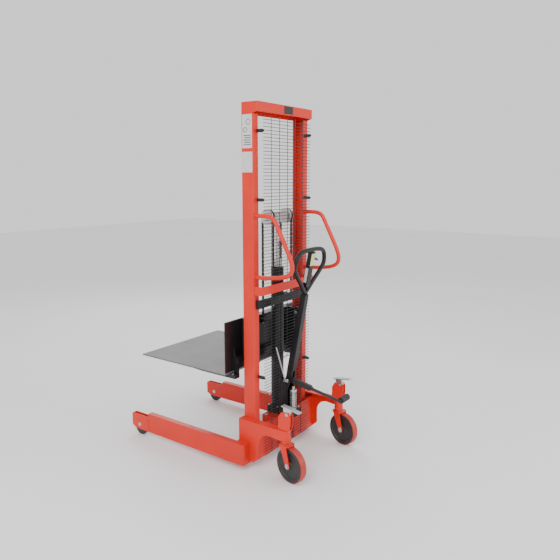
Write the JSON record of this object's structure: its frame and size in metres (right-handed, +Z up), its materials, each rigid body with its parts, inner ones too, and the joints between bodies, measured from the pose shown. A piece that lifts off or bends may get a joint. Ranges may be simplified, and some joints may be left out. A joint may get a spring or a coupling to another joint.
{
  "type": "walkie stacker",
  "caption": "Red manual walkie stacker with a wire-guarded mast, hand and foot pump, grey load platform between straddle legs and braked swivel casters.",
  "frame": {"origin": "bottom centre of the bounding box, on the floor", "axes": "+X to the operator's right, +Y forward along the legs and platform, +Z up"},
  "size_m": [0.756, 1.358, 2.05],
  "materials": {
    "red_paint": "gloss powder coat",
    "black_paint": "semi-gloss black paint",
    "zinc_plate": "bright zinc plate",
    "chrome_rod": "hard chrome, ground smooth",
    "chain_steel": "oiled dark steel",
    "guard_wire": "dull galvanised wire",
    "grey_deck": "matt grey paint",
    "black_plastic": "moulded, slightly grained",
    "wheel_rubber": "black core with a red tread band"
  },
  "bodies": {
    "mast": {"upright_web_right": "red_paint", "upright_web_left": "red_paint", "upright_front_right": "red_paint", "upright_front_left": "red_paint", "upright_rear_right": "red_paint", "upright_rear_left": "red_paint", "top_beam": "red_paint", "grab_handle_right": "red_paint", "grab_handle_left": "red_paint", "mid_brace": "red_paint", "anchor_bar": "black_paint", "wire_guard": "guard_wire", "base_cross": "red_paint", "base_side_right": "red_paint", "base_side_left": "red_paint", "leg_right": "red_paint", "leg_left": "red_paint", "roller_fork_right": "red_paint", "roller_fork_left": "red_paint", "brake_housing_right": "red_paint", "brake_housing_left": "red_paint", "cylinder_barrel": "black_paint", "pump_block": "black_paint", "pump_clevis": "black_paint", "pivot_pin": "zinc_plate", "chain_rear_right": "chain_steel", "chain_rear_left": "chain_steel"},
    "ram": {"ram_rod": "chrome_rod", "crosshead": "zinc_plate", "chain_wrap_right": "chain_steel", "chain_wrap_left": "chain_steel"},
    "sheave_right": {"sheave_right": "zinc_plate"},
    "sheave_left": {"sheave_left": "zinc_plate"},
    "carriage": {"back_plate": "black_paint", "carriage_frame": "black_paint", "platform": "grey_deck", "chain_front_right": "chain_steel", "chain_front_left": "chain_steel"},
    "roller_low_right": {"carriage_roller_low_right": "zinc_plate"},
    "roller_low_left": {"carriage_roller_low_left": "zinc_plate"},
    "roller_high_right": {"carriage_roller_high_right": "zinc_plate"},
    "roller_high_left": {"carriage_roller_high_left": "zinc_plate"},
    "front_roller_right": {"front_roller_right": "black_plastic"},
    "front_roller_left": {"front_roller_left": "black_plastic"},
    "caster_right": {"caster_fork_right": "red_paint"},
    "caster_wheel_right": {"caster_wheel_right": "wheel_rubber"},
    "caster_left": {"caster_fork_left": "red_paint"},
    "caster_wheel_left": {"caster_wheel_left": "wheel_rubber"},
    "brake_pedal_right": {"brake_pedal_right": "zinc_plate"},
    "brake_pedal_left": {"brake_pedal_left": "zinc_plate"},
    "brake_rod_right": {"brake_rod_right": "zinc_plate"},
    "brake_rod_left": {"brake_rod_left": "zinc_plate"},
    "tiller": {"tiller_arm": "black_paint", "tiller_loop": "black_paint", "tiller_head": "black_paint"},
    "release_trigger": {"release_trigger": "black_plastic"},
    "plunger": {"pump_plunger": "zinc_plate", "pump_spring": "zinc_plate"},
    "foot_lever": {"foot_lever": "black_paint"},
    "lowering_lever": {"lowering_lever": "zinc_plate"}
  },
  "joints": [
    {"name": "ram_lift", "type": "slide", "parent": "mast", "child": "ram", "axis": [0, 0, 1], "range_m": [-0.185, 0.5], "deforming": ["chain_rear_right", "chain_rear_left"]},
    {"name": "carriage_lift", "type": "slide", "parent": "ram", "child": "carriage", "axis": [0, 0, 1], "range_m": [-0.185, 0.5], "deforming": ["chain_front_right", "chain_front_left"]},
    {"name": "sheave_right_spin", "type": "hinge", "parent": "ram", "child": "sheave_right", "pos_m": [0.09, -0.2235, 1.433], "axis": [1, 0, 0], "continuous": true},
    {"name": "sheave_left_spin", "type": "hinge", "parent": "ram", "child": "sheave_left", "pos_m": [-0.09, -0.2235, 1.433], "axis": [1, 0, 0], "continuous": true},
    {"name": "roller_low_right_spin", "type": "hinge", "parent": "carriage", "child": "roller_low_right", "pos_m": [0.24, -0.219, 0.63], "axis": [1, 0, 0], "continuous": true},
    {"name": "roller_low_left_spin", "type": "hinge", "parent": "carriage", "child": "roller_low_left", "pos_m": [-0.24, -0.219, 0.63], "axis": [1, 0, 0], "continuous": true},
    {"name": "roller_high_right_spin", "type": "hinge", "parent": "carriage", "child": "roller_high_right", "pos_m": [0.24, -0.219, 0.82], "axis": [1, 0, 0], "continuous": true},
    {"name": "roller_high_left_spin", "type": "hinge", "parent": "carriage", "child": "roller_high_left", "pos_m": [-0.24, -0.219, 0.82], "axis": [1, 0, 0], "continuous": true},
    {"name": "front_roller_right_spin", "type": "hinge", "parent": "mast", "child": "front_roller_right", "pos_m": [0.36, 0.608, 0.05], "axis": [1, 0, 0], "continuous": true},
    {"name": "front_roller_left_spin", "type": "hinge", "parent": "mast", "child": "front_roller_left", "pos_m": [-0.36, 0.608, 0.05], "axis": [1, 0, 0], "continuous": true},
    {"name": "caster_right_swivel", "type": "hinge", "parent": "mast", "child": "caster_right", "pos_m": [0.29, -0.492, 0.24], "axis": [0, 0, 1], "continuous": true},
    {"name": "caster_right_roll", "type": "hinge", "parent": "caster_right", "child": "caster_wheel_right", "pos_m": [0.28085, -0.53504, 0.1], "axis": [0.9781, -0.2079, 0], "continuous": true},
    {"name": "caster_left_swivel", "type": "hinge", "parent": "mast", "child": "caster_left", "pos_m": [-0.29, -0.492, 0.24], "axis": [0, 0, 1], "continuous": true},
    {"name": "caster_left_roll", "type": "hinge", "parent": "caster_left", "child": "caster_wheel_left", "pos_m": [-0.29915, -0.53504, 0.1], "axis": [0.9781, -0.2079, 0], "continuous": true},
    {"name": "brake_pedal_right_rock", "type": "hinge", "parent": "mast", "child": "brake_pedal_right", "pos_m": [0.29, -0.508, 0.385], "axis": [1, 0, 0], "range_deg": [0, 22]},
    {"name": "brake_pedal_left_rock", "type": "hinge", "parent": "mast", "child": "brake_pedal_left", "pos_m": [-0.29, -0.508, 0.385], "axis": [1, 0, 0], "range_deg": [-18, 4]},
    {"name": "brake_rod_right_push", "type": "slide", "parent": "mast", "child": "brake_rod_right", "axis": [0, 0, 1], "range_m": [-0.0005, 0.0065]},
    {"name": "brake_rod_left_push", "type": "slide", "parent": "mast", "child": "brake_rod_left", "axis": [0, 0, 1], "range_m": [-0.0055, 0.0015]},
    {"name": "tiller_pump", "type": "hinge", "parent": "mast", "child": "tiller", "pos_m": [0, -0.32, 0.462], "axis": [1, 0, 0], "range_deg": [-6, 52]},
    {"name": "trigger_squeeze", "type": "hinge", "parent": "tiller", "child": "release_trigger", "pos_m": [0.026, -0.45796, 1.1992], "axis": [0, 0.9829, 0.184], "range_deg": [-12, 0], "stiffness_Nm_per_rad": 1.5, "springref_deg": 5.73},
    {"name": "plunger_stroke", "type": "slide", "parent": "mast", "child": "plunger", "axis": [0, 0, 1], "range_m": [-0.0205, 0.0025], "deforming": ["pump_spring"]},
    {"name": "foot_pump", "type": "hinge", "parent": "mast", "child": "foot_lever", "pos_m": [0, -0.32, 0.462], "axis": [1, 0, 0], "range_deg": [-2, 22]},
    {"name": "lowering_lever_tilt", "type": "hinge", "parent": "mast", "child": "lowering_lever", "pos_m": [-0.047, -0.314, 0.465], "axis": [0, 1, 0], "range_deg": [-15, 15]}
  ],
  "couplings": [
    {"joint": "carriage_lift", "follows": "ram_lift", "ratio": 1},
    {"joint": "sheave_right_spin", "follows": "ram_lift", "rad_per_m": 26.74},
    {"joint": "sheave_left_spin", "follows": "ram_lift", "rad_per_m": 26.74},
    {"joint": "roller_low_right_spin", "follows": "ram_lift", "rad_per_m": 65.57},
    {"joint": "roller_low_left_spin", "follows": "ram_lift", "rad_per_m": 65.57},
    {"joint": "roller_high_right_spin", "follows": "ram_lift", "rad_per_m": -65.57},
    {"joint": "roller_high_left_spin", "follows": "ram_lift", "rad_per_m": -65.57},
    {"joint": "brake_rod_right_push", "follows": "brake_pedal_right_rock", "m_per_rad": 0.0159},
    {"joint": "brake_rod_left_push", "follows": "brake_pedal_left_rock", "m_per_rad": 0.0159},
    {"joint": "plunger_stroke", "follows": "tiller_pump", "m_per_rad": -0.02}
  ]
}
